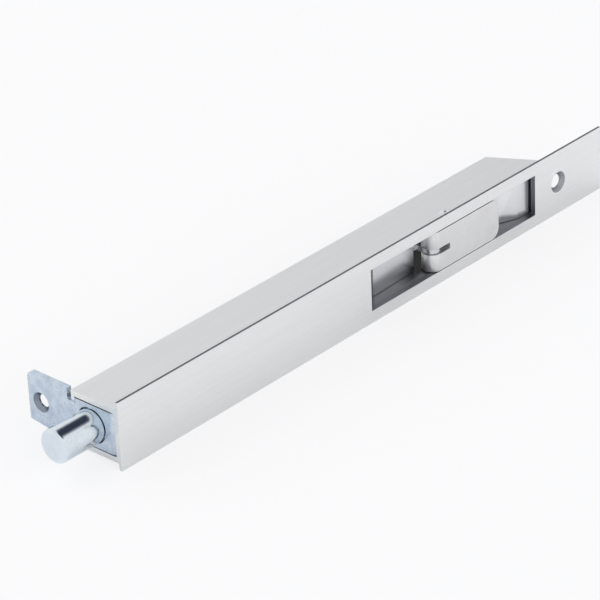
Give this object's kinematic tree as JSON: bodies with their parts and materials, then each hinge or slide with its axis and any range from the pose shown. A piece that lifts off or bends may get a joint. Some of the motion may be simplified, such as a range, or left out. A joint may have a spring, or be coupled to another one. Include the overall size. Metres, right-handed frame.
{
  "type": "flush bolt",
  "caption": "Lever-action flush bolt for a door edge: a hollow aluminium case with a flush face plate, a flip lever and a round bolt that slides out of its end.",
  "frame": {"origin": "on the bolt's axis, where the bolt leaves the outer face of the end plate", "axes": "+X along the bolt axis into the case, so the bolt throws towards -X; +Y away from the face plate into the door; +Z across the face plate"},
  "size_m": [0.267, 0.041, 0.025],
  "materials": {
    "anodised_aluminium": "satin natural anodised extrusion with fine lengthwise grain",
    "liner_aluminium": "mill-rolled strip, semi-bright",
    "satin_lever": "satin silver-grey coated zinc casting",
    "zinc_plate": "blue-passivated zinc plate, faintly mottled",
    "bright_plated_steel": "bright zinc plate on turned steel",
    "spring_steel": "blued strip",
    "black_nylon": "moulded, matt"
  },
  "bodies": {
    "case_body": {"case": "anodised_aluminium", "end_plate": "zinc_plate", "bolt_guide": "black_nylon", "bar_guide": "black_nylon", "friction_spring": "spring_steel", "pivot_pin": "bright_plated_steel", "liner_bolt_side": "liner_aluminium", "liner_screw_side": "liner_aluminium"},
    "lever_body": {"lever": "satin_lever", "crank_pin": "bright_plated_steel"},
    "link_body": {"link": "zinc_plate", "link_pin": "bright_plated_steel", "link_washer": "zinc_plate"},
    "bolt_body": {"bolt": "bright_plated_steel", "bolt_rivets": "zinc_plate", "drive_bar": "zinc_plate"}
  },
  "joints": [
    {"name": "lever_pivot", "type": "hinge", "parent": "case_body", "child": "lever_body", "pos_m": [0.166, -0.00875, 0], "axis": [0, 0, -1], "range_deg": [0, 178.01]},
    {"name": "bolt_slide", "type": "slide", "parent": "case_body", "child": "bolt_body", "axis": [1, 0, 0], "range_m": [0, 0.01599]},
    {"name": "crank_pivot", "type": "hinge", "parent": "lever_body", "child": "link_body", "pos_m": [0.158, -0.00875, 0], "axis": [0, 0, -1], "range_deg": [-178.01, 0]}
  ],
  "couplings": [
    {"joint": "lever_pivot", "follows": "bolt_slide", "rad_per_m": 194.23},
    {"joint": "crank_pivot", "follows": "bolt_slide", "rad_per_m": -194.23}
  ]
}
